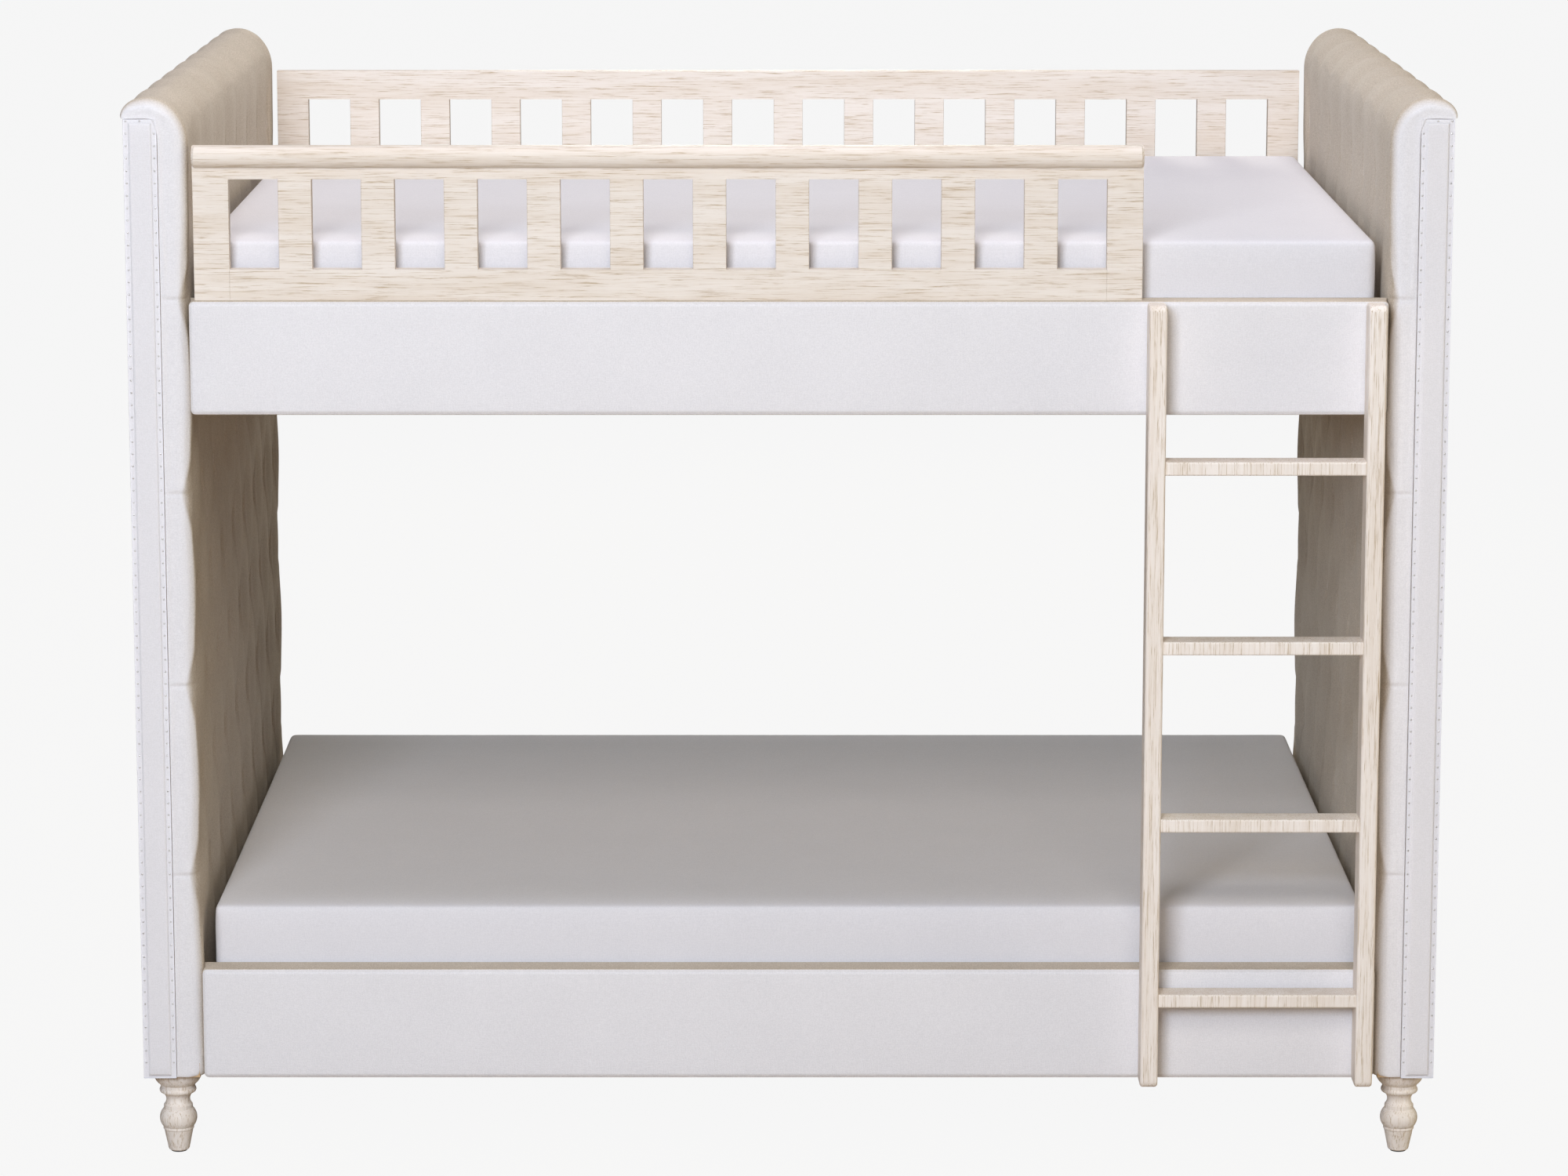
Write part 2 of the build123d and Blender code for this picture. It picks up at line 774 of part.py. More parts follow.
def guard_rail(name, start, end, baluster_count, stud_xs, place):
    """Writes the five parts of a guard rail that runs from start to end along X."""
    inner_start = start + guard_post_width
    inner_end = end - guard_post_width
    gap = (inner_end - inner_start - baluster_count * baluster_width) / (baluster_count + 1)
    baluster_starts = [inner_start + gap + i * (gap + baluster_width) for i in range(baluster_count)]
    post_starts = (start, inner_end)
    upright_tenons = [(x + tenon_shoulder, x + baluster_width - tenon_shoulder) for x in baluster_starts]
    post_tenons = [(x + tenon_shoulder, x + guard_post_width - tenon_shoulder) for x in post_starts]
    rail_tenons = ((inner_start - tenon_length, inner_start), (inner_end, inner_end + tenon_length))
    rail_tenon_low = guard_bottom + tenon_shoulder
    rail_tenon_high = opening_bottom - tenon_shoulder

    with BuildPart() as top_rail:
        block(start, end, guard_face, guard_back, opening_top, guard_top)
        fillet(top_rail.edges().filter_by(Axis.X).group_by(Axis.Z)[-1].sort_by(Axis.Y)[-1], eased_edge)
        for x0, x1 in upright_tenons + post_tenons:
            tenon(x0, x1, opening_top, opening_top + tenon_length, tenon_gap, Mode.SUBTRACT)
    save(place(top_rail), f"{name}_guard_top_rail")

    with BuildPart() as moulding:
        with BuildSketch(Plane.YZ.offset(start)):
            with BuildLine():
                ThreePointArc(
                    (guard_face, guard_top - moulding_height),
                    (front_y, guard_top - moulding_height / 2),
                    (guard_face, guard_top),
                )
                Line((guard_face, guard_top), (guard_face, guard_top - moulding_height))
            make_face()
        extrude(amount=end - start)
        chamfer(moulding.edges().filter_by(GeomType.CIRCLE), moulding_end_radius)
    save(place(moulding), f"{name}_guard_moulding")

    with BuildPart() as bottom_rail:
        block(inner_start, inner_end, guard_face, guard_back, guard_bottom, opening_bottom)
        for x0, x1 in rail_tenons:
            tenon(x0, x1, rail_tenon_low, rail_tenon_high)
        for x0, x1 in upright_tenons:
            tenon(x0, x1, opening_bottom - tenon_length, opening_bottom, tenon_gap, Mode.SUBTRACT)
        for x in stud_xs:
            rod(
                (x, guard_mid, guard_bottom),
                (x, guard_mid, guard_bottom + stud_in_guard + foot_bolt_end_gap),
                stud_radius + thread_gap,
                mode=Mode.SUBTRACT,
            )
    save(place(bottom_rail), f"{name}_guard_bottom_rail")

    with BuildPart() as guard_posts:
        for x in post_starts:
            block(x, x + guard_post_width, guard_face, guard_back, guard_bottom, opening_top)
        fillet(guard_posts.edges().filter_by(Axis.Z), eased_edge)
        for x0, x1 in post_tenons:
            tenon(x0, x1, opening_top, opening_top + tenon_length)
        for x0, x1 in rail_tenons:
            tenon(x0, x1, rail_tenon_low, rail_tenon_high, tenon_gap, Mode.SUBTRACT)
    save(place(guard_posts), f"{name}_guard_posts")

    with BuildPart() as balusters:
        for x in baluster_starts:
            block(x, x + baluster_width, guard_face, guard_back, opening_bottom, opening_top)
        fillet(balusters.edges().filter_by(Axis.Z), eased_edge)
        for x0, x1 in upright_tenons:
            tenon(x0, x1, opening_bottom - tenon_length, opening_bottom)
            tenon(x0, x1, opening_top, opening_top + tenon_length)
    save(place(balusters), f"{name}_guard_balusters")


guard_rail("front", front_guard_start, front_guard_end, front_baluster_count, front_stud_xs, in_front)
guard_rail(
    "back", -back_guard_end, back_guard_end, back_baluster_count, back_stud_xs, at_the_back
)

back_guard_mid = 2 * mid_y - guard_mid
with BuildPart() as guard_studs:
    for xs, y in ((front_stud_xs, guard_mid), (back_stud_xs, back_guard_mid)):
        for x in xs:
            rod((x, y, upper_rail_top - stud_in_rail), (x, y, upper_rail_top + stud_in_guard), stud_radius)
save(guard_studs, "guard_studs")


# ---------------------------------------------------------------------------
# Ladder
# ---------------------------------------------------------------------------

ladder_front = front_y - stile_depth
rung_front = ladder_front + rung_setback
rung_back = rung_front + rung_depth
rung_mid = (rung_front + rung_back) / 2
rung_tops = evenly(
    panel_bottom + first_rung_above_stile_end, upper_rail_bottom - top_rung_below_rail, rung_count
)
rung_start = inner_stile_start + stile_width
rung_end = rung_start + ladder_inner_width


def rung_tenon(x0, x1, top, gap=0, mode=Mode.ADD):
    """Tenon at one end of a rung, or its mortise when gap and mode say so."""
    middle = top - rung_thickness / 2
    block(
        x0 - gap,
        x1 + gap,
        rung_mid - rung_tenon_depth / 2 - gap,
        rung_mid + rung_tenon_depth / 2 + gap,
        middle - rung_tenon_thickness / 2 - gap,
        middle + rung_tenon_thickness / 2 + gap,
        mode=mode,
    )


for stile_name, start in stile_starts.items():
    with BuildPart() as stile:
        with BuildSketch(Plane.YZ.offset(start)):
            with Locations((front_y - stile_depth / 2, (panel_bottom + upper_rail_top) / 2)):
                RectangleRounded(stile_depth, upper_rail_top - panel_bottom, stile_end_radius)
        extrude(amount=stile_width)
        side_faces = stile.faces().filter_by(Axis.X)
        fillet(side_faces.edges(), stile_edge_radius)
        for top in rung_tops:
            if stile_name == "left":
                rung_tenon(rung_start - tenon_length, rung_start, top, tenon_gap, Mode.SUBTRACT)
            else:
                rung_tenon(rung_end, rung_end + tenon_length, top, tenon_gap, Mode.SUBTRACT)
        for z in ladder_bolt_heights:
            x = start + stile_width / 2
            insert_end = front_y - insert_length - insert_hole_gap
            bolt_tip = front_y - ladder_bolt_in_stile - screw_tip_gap
            rod((x, front_y, z), (x, insert_end, z), insert_radius + insert_hole_gap, mode=Mode.SUBTRACT)
            rod((x, front_y, z), (x, bolt_tip, z), hole_radius, mode=Mode.SUBTRACT)
    save(stile, f"ladder_{stile_name}_stile")

with BuildPart() as rungs:
    for top in rung_tops:
        block(rung_start, rung_end, rung_front, rung_back, top - rung_thickness, top)
    fillet(rungs.edges().filter_by(Axis.X), rung_edge_radius)
    for top in rung_tops:
        rung_tenon(rung_start - tenon_length, rung_start, top)
        rung_tenon(rung_end, rung_end + tenon_length, top)
save(rungs, "ladder_rungs")


# ---------------------------------------------------------------------------
# Connector bolts and the threaded inserts that they pull on
# ---------------------------------------------------------------------------

# Each plane stands where a bolt's head is seated and looks along its shank
panel_bolt_planes = [
    Plane(origin=(side * (panel_in - steel_thickness), y, z), z_dir=(side, 0, 0))
    for side in (-1, 1)
    for y, z in panel_bolt_spots
]
ladder_bolt_planes = [
    Plane(origin=(x, rail_in_front - counterbore_depth, z), z_dir=(0, -1, 0))
    for x in stile_centres
    for z in ladder_bolt_heights
]
upwards = (Align.CENTER, Align.CENTER, Align.MIN)
downwards = (Align.CENTER, Align.CENTER, Align.MAX)

panel_insert_depth = steel_thickness + padding_thickness + sheet_thickness
ladder_insert_depth = rail_thickness - counterbore_depth
bolt_lengths = (
    (panel_bolt_planes, panel_insert_depth + insert_length - panel_bolt_end_inset),
    (ladder_bolt_planes, ladder_insert_depth + ladder_bolt_in_stile),
)

with BuildPart() as connector_bolts:
    for planes, bolt_length in bolt_lengths:
        with Locations(*planes):
            Cylinder(bolt_radius, bolt_length, align=upwards)
            Cylinder(bolt_head_radius, bolt_head_height, align=downwards)
    socket_planes = [plane.offset(-bolt_head_height) for plane in panel_bolt_planes + ladder_bolt_planes]
    with BuildSketch(*socket_planes):
        RegularPolygon(bolt_socket_radius, 6)
    extrude(amount=bolt_socket_depth, mode=Mode.SUBTRACT)
save(connector_bolts, "connector_bolts")

insert_planes = [plane.offset(panel_insert_depth) for plane in panel_bolt_planes]
insert_planes += [plane.offset(ladder_insert_depth) for plane in ladder_bolt_planes]
with BuildPart() as threaded_inserts:
    with Locations(*insert_planes):
        Cylinder(insert_radius, insert_length, align=upwards)
        Cylinder(bolt_radius + thread_gap, insert_length, align=upwards, mode=Mode.SUBTRACT)
save(threaded_inserts, "threaded_inserts")
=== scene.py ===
import math

import bpy
import numpy as np
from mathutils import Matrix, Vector


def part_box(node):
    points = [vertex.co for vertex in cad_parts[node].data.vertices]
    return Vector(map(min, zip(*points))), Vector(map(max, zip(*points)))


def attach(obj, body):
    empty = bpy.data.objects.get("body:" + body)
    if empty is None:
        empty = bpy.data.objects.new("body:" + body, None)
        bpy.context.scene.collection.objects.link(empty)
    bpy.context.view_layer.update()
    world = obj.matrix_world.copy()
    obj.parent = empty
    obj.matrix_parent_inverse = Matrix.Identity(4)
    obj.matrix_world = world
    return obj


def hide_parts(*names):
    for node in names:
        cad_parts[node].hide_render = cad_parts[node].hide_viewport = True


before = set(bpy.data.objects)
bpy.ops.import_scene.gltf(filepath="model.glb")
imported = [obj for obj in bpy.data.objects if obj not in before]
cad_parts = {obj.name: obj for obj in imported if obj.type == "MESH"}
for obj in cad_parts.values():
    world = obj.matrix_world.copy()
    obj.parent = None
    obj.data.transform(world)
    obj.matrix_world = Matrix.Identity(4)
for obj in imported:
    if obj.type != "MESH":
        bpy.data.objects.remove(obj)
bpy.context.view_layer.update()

MM = 0.001
BODY = "bed_frame"

# ---------------------------------------------------------------------------
# Places read from the frame
# ---------------------------------------------------------------------------

rail_lo, rail_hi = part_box("lower_front_rail_cover")
sheet_lo, sheet_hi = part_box("right_inner_sheet")
pad_lo, pad_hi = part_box("right_tufted_padding")
border_lo, border_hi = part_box("right_front_border")

FRONT_Y = rail_lo.y
PAD_IN = pad_lo.x
PAD_ROOT = sheet_lo.x
PAD_FRONT = pad_lo.y
PAD_BACK = pad_hi.y
PANEL_BOTTOM = pad_lo.z
PANEL_TOP = sheet_hi.z
ROLL_TOP = pad_hi.z
ROLL_OUT = pad_hi.x
PANEL_OUT = border_hi.x

# ---------------------------------------------------------------------------
# Tufting
# ---------------------------------------------------------------------------

TUFT_ROW = 159 * MM        # height from one row of tufts to the next
TUFT_COLUMN = 92.5 * MM    # depth from a tuft to the nearest one in the next row
FIRST_TUFT_ROW = 185 * MM  # above the panel's lower edge
TUFT_ROWS = 8              # the topmost row's number, counted from 0
TUFT_COLUMNS = 16          # steps over the depth of the bed
CELLS = 16                 # mesh cells in each of those steps


# ---------------------------------------------------------------------------
# Mesh helpers
# ---------------------------------------------------------------------------

def new_piece(name, verts, faces, material, replaced):
    """A smooth-shaded object that stands for the CAD nodes named in replaced."""
    mesh = bpy.data.meshes.new(name)
    mesh.from_pydata([tuple(map(float, v)) for v in verts], [], [tuple(map(int, f)) for f in faces])
    mesh.validate()
    mesh.update()
    mesh.polygons.foreach_set("use_smooth", [True] * len(mesh.polygons))
    piece = bpy.data.objects.new(name, mesh)
    bpy.context.scene.collection.objects.link(piece)
    piece.data.materials.append(material)
    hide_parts(*replaced)
    return piece


def coordinates(mesh):
    co = np.zeros(len(mesh.vertices) * 3)
    mesh.vertices.foreach_get("co", co)
    return co.reshape(-1, 3)


def lines(lo, hi, radius, spacing, extra=()):
    """Grid lines along one side of a rounded box: three at each rounded edge, evenly spaced between."""
    count = max(2, int(round((hi - lo - 2 * radius) / spacing)) + 1)
    edge = [lo, lo + radius * 0.22, lo + radius * 0.55]
    middle = list(np.linspace(lo + radius, hi - radius, count))
    far = [hi - radius * 0.55, hi - radius * 0.22, hi]
    taken = sorted(set(round(v, 6) for v in edge + middle + far + list(extra)))
    kept = [taken[0]]
    for value in taken[1:]:
        if value - kept[-1] > 0.0003:
            kept.append(value)
    kept[-1] = hi
    return np.array(kept)


def grid_box(xs, ys, zs):
    """Closed surface of quads on the six faces of a box, with the grid lines given."""
    counts = (len(xs), len(ys), len(zs))
    index = -np.ones(counts, int)
    grid = np.stack(np.meshgrid(xs, ys, zs, indexing="ij"), -1)
    shell = np.zeros(counts, bool)
    for axis in range(3):
        for end in (0, -1):
            cut = [slice(None)] * 3
            cut[axis] = end
            shell[tuple(cut)] = True
    index[shell] = np.arange(shell.sum())
    verts = grid[shell]
    faces = []
    for axis in range(3):
        for end in (0, -1):
            cut = [slice(None)] * 3
            cut[axis] = end
            side = index[tuple(cut)]
            a, b, c, d = side[:-1, :-1], side[1:, :-1], side[1:, 1:], side[:-1, 1:]
            quads = np.stack([a, b, c, d], -1).reshape(-1, 4)
            if (end == 0) != (axis == 1):
                quads = quads[:, ::-1]
            faces.append(quads)
    return verts, np.concatenate(faces)


def round_edges(verts, lo, hi, radius):
    """Moves the points of a box's surface onto a box with rounded edges."""
    lo, hi = np.array(lo), np.array(hi)
    inner = np.clip(verts, lo + radius, hi - radius)
    away = verts - inner
    length = np.linalg.norm(away, axis=1, keepdims=True)
    return inner + away / np.maximum(length, 1e-9) * radius


def rounded_box(lo, hi, radius, spacing, extra=((), (), ())):
    xs, ys, zs = (lines(lo[k], hi[k], radius, spacing[k], extra[k]) for k in range(3))
    verts, faces = grid_box(xs, ys, zs)
    return verts, round_edges(verts, lo, hi, radius), faces


def smooth_step(value, start, end):
    t = np.clip((value - start) / (end - start), 0, 1)
    return t * t * (3 - 2 * t)


def mirror_piece(piece, name, material, replaced):
    """The same piece at the other end of the bed."""
    verts = coordinates(piece.data) * (-1, 1, 1)
    faces = [tuple(reversed(p.vertices)) for p in piece.data.polygons]
    return new_piece(name, verts, faces, material, replaced)


def subdivide(piece):
    modifier = piece.modifiers.new("Subdivision", "SUBSURF")
    modifier.levels = 1
    modifier.render_levels = 1


CLOTH_FRAMES = 16
CLOTH_MASS = 0.3
CLOTH_STIFFNESS = 15
CLOTH_BENDING = 0.5


def inflate(piece, hold, pressure, cap):
    """Blows a piece up a little as cloth. hold is each point's pin weight; no point moves more than cap."""
    group = piece.vertex_groups.new(name="hold")
    for level in np.unique(np.round(hold, 2)):
        if level > 0:
            members = np.nonzero(np.round(hold, 2) == level)[0]
            group.add([int(m) for m in members], float(level), "REPLACE")
    rest = coordinates(piece.data)
    cloth = piece.modifiers.new("Cloth", "CLOTH")
    settings = cloth.settings
    settings.quality = 5
    settings.mass = CLOTH_MASS
    settings.tension_stiffness = CLOTH_STIFFNESS
    settings.compression_stiffness = CLOTH_STIFFNESS
    settings.shear_stiffness = CLOTH_STIFFNESS / 2
    settings.bending_stiffness = CLOTH_BENDING
    settings.use_pressure = True
    settings.uniform_pressure_force = pressure
    settings.vertex_group_mass = group.name
    settings.effector_weights.gravity = 0
    cloth.collision_settings.use_collision = False
    cloth.collision_settings.use_self_collision = False
    cloth.point_cache.frame_start = 1
    cloth.point_cache.frame_end = CLOTH_FRAMES
    scene = bpy.context.scene
    for number in range(1, CLOTH_FRAMES + 1):
        scene.frame_set(number)
    shaped = piece.evaluated_get(bpy.context.evaluated_depsgraph_get()).to_mesh()
    moved = coordinates(shaped) - rest
    length = np.linalg.norm(moved, axis=1, keepdims=True)
    soft = cap * np.tanh(length / cap)
    moved *= soft / np.maximum(length, 1e-9)
    piece.evaluated_get(bpy.context.evaluated_depsgraph_get()).to_mesh_clear()
    piece.modifiers.remove(cloth)
    piece.vertex_groups.remove(group)
    piece.data.vertices.foreach_set("co", (rest + moved).ravel())
    piece.data.update()
    scene.frame_set(1)


# ---------------------------------------------------------------------------
# Materials
# ---------------------------------------------------------------------------

class Finish:
    """A Principled material that is put together node by node."""

    def __init__(self, name, roughness, **inputs):
        self.material = bpy.data.materials.new(name)
        self.material.use_nodes = True
        self.nodes = self.material.node_tree.nodes
        self.links = self.material.node_tree.links
        self.shader = self.nodes["Principled BSDF"]
        self.shader.inputs["Roughness"].default_value = roughness
        for key, value in inputs.items():
            self.shader.inputs[key.replace("_", " ")].default_value = value
        self.place = self.add("ShaderNodeTexCoord").outputs["Object"]

    def add(self, kind, inputs=None, **settings):
        node = self.nodes.new(kind)
        for key, value in settings.items():
            setattr(node, key, value)
        self.fill((node.inputs[key], value) for key, value in (inputs or {}).items())
        return node

    def fill(self, pairs):
        """Sets each socket to its value, or links it to the socket that is given instead of one."""
        for socket, value in pairs:
            if isinstance(value, bpy.types.NodeSocket):
                self.links.new(value, socket)
            else:
                socket.default_value = value

    def math(self, operation, a, b=0.0):
        return self.add("ShaderNodeMath", {0: a, 1: b}, operation=operation).outputs[0]

    def noise(self, scale, detail=3.0, roughness=0.55, distortion=0.0):
        """Noise whose grain is 1/scale metres long on each axis."""
        scaled = self.add("ShaderNodeMapping", {"Vector": self.place, "Scale": scale}).outputs[0]
        node = self.add("ShaderNodeTexNoise", {
            "Vector": scaled,
            "Scale": 1.0,
            "Detail": detail,
            "Roughness": roughness,
            "Distortion": distortion,
        })
        return node.outputs["Fac"]

    def fit(self, value, low, high, to_low=0.0, to_high=1.0):
        """value moved from the range low to high into the range to_low to to_high."""
        node = self.add("ShaderNodeMapRange", {
            "Value": value,
            "From Min": low,
            "From Max": high,
            "To Min": to_low,
            "To Max": to_high,
        })
        return node.outputs[0]

    def mix(self, factor, a, b):
        """Colour a where factor is 0 and b where it is 1."""
        node = self.add("ShaderNodeMix", data_type="RGBA")
        self.fill(((node.inputs[0], factor), (node.inputs[6], a), (node.inputs[7], b)))
        return node.outputs[2]

    def colour(self, value):
        self.links.new(value, self.shader.inputs["Base Color"])

    def rough(self, value):
        self.links.new(value, self.shader.inputs["Roughness"])

    def bump(self, height, strength, distance):
        node = self.add("ShaderNodeBump", {"Height": height, "Strength": strength, "Distance": distance})
        self.links.new(node.outputs[0], self.shader.inputs["Normal"])


def rgb(red, green, blue):
    """Linear colour from the usual 0 to 255 numbers."""
    def linear(value):
        value /= 255
        return value / 12.92 if value <= 0.04045 else ((value + 0.055) / 1.055) ** 2.4
    return (linear(red), linear(green), linear(blue), 1.0)


def cloth_finish(name, light, dark, side_shade=None, thread=1.3, depth=0.5):
    """Plain-woven cloth: threads both ways, thicker and thinner yarn, and a soft mottling. thread is the
    width of two threads in millimetres. The optional pair of colours is painted shade where the cloth faces
    the sides or up."""
    finish = Finish(name, 0.85, Sheen_Weight=0.1, Sheen_Roughness=0.5, Specular_IOR_Level=0.25)
    across = finish.noise((90, 700, 700), 2.0)
    upright = finish.noise((700, 700, 90), 2.0)
    inward = finish.noise((700, 90, 700), 2.0)
    yarn = finish.math("ADD", finish.math("ADD", across, upright), inward)
    yarn = finish.math("DIVIDE", yarn, 3.0)
    parts = finish.add("ShaderNodeSeparateXYZ", {"Vector": finish.place})
    waves = None
    for axis in range(3):
        wave = finish.math("SINE", finish.math("MULTIPLY", parts.outputs[axis], 2 * math.pi / (thread * MM)))
        waves = wave if waves is None else finish.math("ADD", waves, wave)
    weave = finish.fit(waves, -2.0, 2.0)
    grain = finish.noise((420, 420, 420), 2.0, 0.8)
    mottle = finish.noise((7, 7, 7), 3.0, 0.5)
    shade = finish.math("ADD", finish.math("MULTIPLY", yarn, 0.5), finish.math("MULTIPLY", grain, 0.4))
    shade = finish.math("ADD", shade, finish.math("MULTIPLY", mottle, 0.1))
    factor = finish.fit(shade, 0.4, 0.6)
    colour = finish.mix(factor, dark, light)
    # Painted shade: where the cloth faces the sides or up, it takes the darker, warmer pair of colours that
    # stand in for the shade those faces get
    if side_shade:
        facing = finish.add("ShaderNodeTexCoord").outputs["Normal"]
        forward = finish.math("ABSOLUTE", finish.add("ShaderNodeSeparateXYZ", {"Vector": facing}).outputs[1])
        painted_side_shade = finish.mix(factor, side_shade[1], side_shade[0])
        colour = finish.mix(finish.fit(forward, 0.35, 0.9), painted_side_shade, colour)
    finish.colour(colour)
    height = finish.math("ADD", finish.math("MULTIPLY", yarn, 1.5), finish.math("MULTIPLY", weave, 0.5))
    finish.bump(height, depth, 0.0006)
    return finish.material


def oak_finish(name, along, light, mid, dark):
    """Whitewashed oak, with its grain along one axis (0 X, 1 Y, 2 Z)."""
    finish = Finish(name, 0.55, Specular_IOR_Level=0.35)

    def stretched(long, short):
        scale = [short] * 3
        scale[along] = long
        return tuple(scale)

    bands = finish.noise(stretched(2.2, 40), 3.0, 0.6, 0.5)
    streaks = finish.noise(stretched(13, 420), 4.0, 0.7, 0.3)
    pores = finish.noise(stretched(30, 1000), 2.0, 0.6)
    figure = finish.math("ADD", finish.math("MULTIPLY", bands, 0.55), finish.math("MULTIPLY", streaks, 0.45))
    body = finish.mix(finish.fit(figure, 0.38, 0.6), mid, light)
    lines_on = finish.fit(streaks, 0.37, 0.46, 1.0, 0.0)
    marks = finish.math("MULTIPLY", lines_on, finish.fit(pores, 0.42, 0.6, 0.25, 1.0))
    finish.colour(finish.mix(marks, body, dark))
    raised, sunk = finish.math("MULTIPLY", streaks, 0.6), finish.math("MULTIPLY", marks, 0.7)
    finish.bump(finish.math("SUBTRACT", raised, sunk), 0.35, 0.0006)
    finish.rough(finish.fit(pores, 0.3, 0.7, 0.48, 0.66))
    return finish.material


def metal_finish(name, colour, roughness, scale):
    finish = Finish(name, roughness, Metallic=1.0)
    wear = finish.noise(scale, 3.0, 0.6)
    worn = tuple(0.8 * c for c in colour[:3]) + (1,)
    finish.colour(finish.mix(finish.fit(wear, 0.3, 0.7), colour, worn))
    finish.rough(finish.fit(wear, 0.3, 0.7, roughness - 0.08, roughness + 0.12))
    finish.bump(wear, 0.15, 0.0002)
    return finish.material


def wood_finish(name, along, light, dark, layers=0.0):
    """Plain joinery wood, or plywood when layers gives the thickness of its plies."""
    finish = Finish(name, 0.7, Specular_IOR_Level=0.3)
    scale = [45.0] * 3
    scale[along] = 2.5
    grain = finish.noise(tuple(scale), 4.0, 0.65, 0.8)
    fine = finish.noise(tuple(s * 9 for s in scale), 2.0, 0.6)
    figure = finish.math("ADD", finish.math("MULTIPLY", grain, 0.7), finish.math("MULTIPLY", fine, 0.3))
    colour = finish.mix(finish.fit(figure, 0.35, 0.65), dark, light)
    if layers:
        height = finish.add("ShaderNodeSeparateXYZ", {"Vector": finish.place}).outputs[2]
        ply = finish.math("SINE", finish.math("MULTIPLY", height, 2 * math.pi / layers))
        colour = finish.mix(finish.fit(ply, 0.2, 0.9, 0.0, 0.3), colour, dark)
    finish.colour(colour)
    finish.bump(figure, 0.3, 0.0005)
    return finish.material


def plastic_finish(name, colour):
    finish = Finish(name, 0.5)
    grain = finish.noise((900, 900, 900), 2.0)
    speck = tuple(1.5 * c for c in colour[:3]) + (1,)
    finish.colour(finish.mix(finish.fit(grain, 0.3, 0.7, 0.0, 0.3), colour, speck))
    finish.bump(grain, 0.2, 0.0002)
    return finish.material


# Painted shade: darker, warmer linen tones for faces turned to the sides or up
LINEN_SIDE_SHADE = (rgb(214, 202, 186), rgb(178, 163, 143))
linen = cloth_finish("linen", rgb(237, 235, 238), rgb(224, 222, 225), side_shade=LINEN_SIDE_SHADE)
outer_linen = cloth_finish("outer_linen", rgb(222, 214, 202), rgb(207, 198, 184))
border_linen = cloth_finish("border_linen", rgb(236, 234, 238), rgb(226, 224, 227), thread=1.1)
mattress_cloth = cloth_finish(
    "mattress_cloth", rgb(230, 228, 232), rgb(220, 218, 222), thread=0.9, depth=0.3
)
oak_x = oak_finish("oak_along_x", 0, rgb(236, 227, 218), rgb(225, 212, 198), rgb(184, 160, 128))
oak_z = oak_finish("oak_along_z", 2, rgb(246, 238, 231), rgb(234, 222, 210), rgb(190, 168, 138))
JOINERY_TONES = (rgb(214, 186, 148), rgb(186, 152, 110))
inner_wood = wood_finish("inner_wood", 0, *JOINERY_TONES)
inner_wood_upright = wood_finish("inner_wood_upright", 2, *JOINERY_TONES)
BIRCH_TONES = (rgb(208, 177, 134), rgb(182, 149, 106))
slat_wood = wood_finish("slat_wood", 1, *BIRCH_TONES)
plywood = wood_finish("plywood", 2, *BIRCH_TONES, layers=1.5 * MM)
zinc_steel = metal_finish("zinc_steel", rgb(196, 198, 200), 0.4, (140, 140, 140))
nickel = metal_finish("nickel", rgb(226, 224, 222), 0.34, (400, 400, 400))
glide_plastic = plastic_finish("glide_plastic", rgb(60, 58, 56))

# Words in the names of the CAD nodes that are kept
CAD_FINISHES = {
    oak_x: ["guard"],
    oak_z: ["ladder_left_stile", "ladder_right_stile", "ladder_rungs", "_foot"],
    inner_wood_upright: ["end_posts"],
    inner_wood: ["cross_rails", "sill", "bearing_blocks", "rail_core", "slat_cleats", "center_beam"],
    slat_wood: ["_slats"],
    plywood: ["inner_sheet"],
    zinc_steel: ["screws", "brackets", "hangers", "bolts", "inserts", "studs"],
    glide_plastic: ["foot_glides"],
}
for node_name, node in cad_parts.items():
    for finish_material, words in CAD_FINISHES.items():
        if any(word in node_name for word in words):
            for material_slot in node.material_slots:
                material_slot.material = finish_material


# ---------------------------------------------------------------------------
# Tufted padding of the end panels
# ---------------------------------------------------------------------------

PAD_EDGE = 27 * MM           # radius of the front and back edges
EDGE_STEPS = 8
SEAM_DEPTH = 1.3 * MM        # where the padding meets the border plate
ROLL_INNER_RADIUS = 75 * MM  # height of the roll's curve on the bed's side
ROLL_OUTER_RADIUS = 30 * MM  # the same on the outer side
ROLL_CREST = 66 * MM         # from the face to the highest line of the roll
BROAD_DEPTH = 10.5 * MM      # hollows between the crowns of the diamonds
PLEAT_DEPTH = 2.4 * MM
PLEAT_WIDTH = 4.5 * MM
LAP_HEIGHT = 0.7 * MM        # how far the cloth above a pleat stands over it
LAP_WIDTH = 7 * MM
TUFT_DEPTH = 2.6 * MM
TUFT_WIDTH = 15 * MM
PAD_FACE = PAD_IN - 6 * MM  # the crowns of the tufting, which stand out of the modelled face


